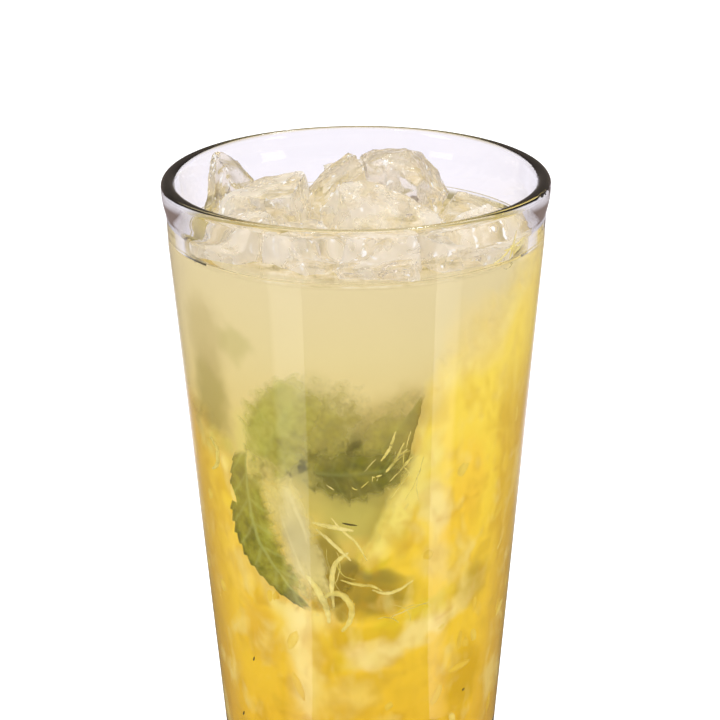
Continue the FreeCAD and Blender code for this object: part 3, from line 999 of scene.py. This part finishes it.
def iceMaterial():
    # wet clear ice with frosted patches; what is sunk vanishes in the cloudy juice
    material, tree = newMaterial("clear_ice")
    place = add(tree, "TexCoord").outputs["Object"]
    split = add(tree, "SeparateXYZ", None, {0: place})
    dry = within(tree, [(split.outputs[2], level + 0.02 * mm)])
    patch = remap(tree, noisePattern(tree, place, 160.0, 3.0), 0.36, 0.62, 0.35, 1.0)
    frost = calc(tree, "MULTIPLY", patch, painted(tree, "frost"))
    # small white flakes of broken ice on the skin, which also serve as painted glints
    flakeAndGlint = remap(tree, noisePattern(tree, place, 470.0, 2.0), 0.635, 0.69, 0.0, 0.85)
    white = calc(tree, "MAXIMUM", calc(tree, "MULTIPLY", frost, 0.44), flakeAndGlint)
    surface = add(tree, "BsdfPrincipled", {"IOR": iceIor}, {
        "Base Color": mixColors(tree, flakeAndGlint, "#F6F0E8", "#FFFDFC"),
        "Roughness": remap(tree, frost, 0.0, 1.0, 0.03, 0.34),
        "Transmission Weight": calc(tree, "SUBTRACT", 1.0, white),
    })
    lampsPass(tree, mixShaders(tree, dry, add(tree, "BsdfTransparent"), surface))
    return material


def airMaterial():
    # air shut in ice: light crosses from ice into air
    material, tree = newMaterial("air_in_ice")
    lampsPass(tree, add(tree, "BsdfGlass", {"Roughness": 0.0, "IOR": 1 / iceIor}))
    return material


def iceLump(node, material):
    source = nodes[node]
    name = node + "_melting"
    piece = bpy.data.objects.new(name, source.data.copy())
    scene.collection.objects.link(piece)
    piece.data.materials.clear()
    piece.data.materials.append(material)
    remesh = piece.modifiers.new("remesh", "REMESH")
    remesh.mode = "VOXEL"
    remesh.voxel_size = iceLook["voxel"]
    melt = piece.modifiers.new("melt", "SMOOTH")
    melt.iterations = iceLook["melt"]
    melt.factor = 0.5
    depsgraph = bpy.context.evaluated_depsgraph_get()
    mesh = bpy.data.meshes.new_from_object(piece.evaluated_get(depsgraph))
    piece.modifiers.clear()
    piece.data = mesh
    mesh.shade_smooth()
    count = len(mesh.vertices)
    spots = np.empty(count * 3)
    mesh.vertices.foreach_get("co", spots)
    normals = np.empty(count * 3)
    mesh.vertex_normals.foreach_get("vector", normals)
    spots, normals = spots.reshape(-1, 3), normals.reshape(-1, 3)
    chips = np.array([noise.voronoi(Vector(p) * 150)[0][0] for p in spots])
    flakes = np.array([noise.voronoi(Vector(p) * 420)[0][0] for p in spots])
    depth = -iceLook["chip"] * np.clip(1 - (chips / 0.7) ** 2, 0, 1)
    depth -= 0.16 * mm * np.clip(1 - (flakes / 0.7) ** 2, 0, 1)
    mesh.vertices.foreach_set("co", (spots + normals * depth[:, None]).ravel())
    paint(mesh, "frost", np.full(count, iceLook["frost"].get(node, 1.0)))
    mesh.update()
    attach(piece, "root")
    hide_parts(node)
    return piece


def ballMesh():
    ball = bmesh.new()
    bmesh.ops.create_icosphere(ball, subdivisions=2, radius=1)
    ball.verts.index_update()
    shape = [v.co.copy() for v in ball.verts], [[v.index for v in f.verts] for f in ball.faces]
    ball.free()
    return shape


def isInside(tree, spot):
    # a line up from a place inside crosses the skin an odd number of times
    crossings, start, up = 0, spot.copy(), Vector((0.01, 0.02, 1)).normalized()
    while True:
        hit = tree.ray_cast(start, up)[0]
        if hit is None:
            return crossings % 2 == 1
        crossings += 1
        start = hit + up * 1e-6


def iceFlaws(lumps):
    # bubbles and thin gaping cracks inside the lumps
    heap = Heap()
    vertices, faces = ballMesh()
    for lump in lumps:
        tree = BVHTree.FromPolygons([v.co for v in lump.data.vertices],
                                    [p.vertices[:] for p in lump.data.polygons])
        corners = np.array([v.co for v in lump.data.vertices])
        low, high = corners.min(0), corners.max(0)
        low[2] = max(low[2], level - iceLook["flawsFrom"])
        kinds = ["crack"] * iceLook["cracks"] + ["bubble"] * iceLook["bubbles"]
        for kind in kinds:
            for _ in range(60):
                spot = Vector(random.uniform(low, high))
                distance = tree.find_nearest(spot)[3]
                if distance > (1.6 if kind == "crack" else 0.6) * mm and isInside(tree, spot):
                    break
            else:
                continue
            turn = Vector(random.normal(size=3)).to_track_quat("Z", "Y")
            wide = (random.uniform(0.5, 0.85) * distance if kind == "crack"
                    else min(abs(random.normal(0, 0.16)) + 0.07, 0.45) * mm)
            shape = (wide, wide * random.uniform(0.5, 1), 0.045 * mm) if kind == "crack" else (wide,) * 3
            bend = 0.25 * wide if kind == "crack" else 0
            placed = []
            for v in vertices:
                curl = bend * (v.x ** 2 - v.y ** 2)
                local = Vector((v.x * shape[0], v.y * shape[1], v.z * shape[2] + curl))
                placed.append(spot + turn @ local)
            heap.put(placed, faces, 0.5)
    return heap.make("ice_bubbles", airMaterial(), "ice")


clearIce = iceMaterial()
iceFlaws([iceLump(node, clearIce) for node in sorted(name for name in nodes if name.startswith("ice_"))])
print("ice ready")

scene.view_settings.view_transform = "Standard"
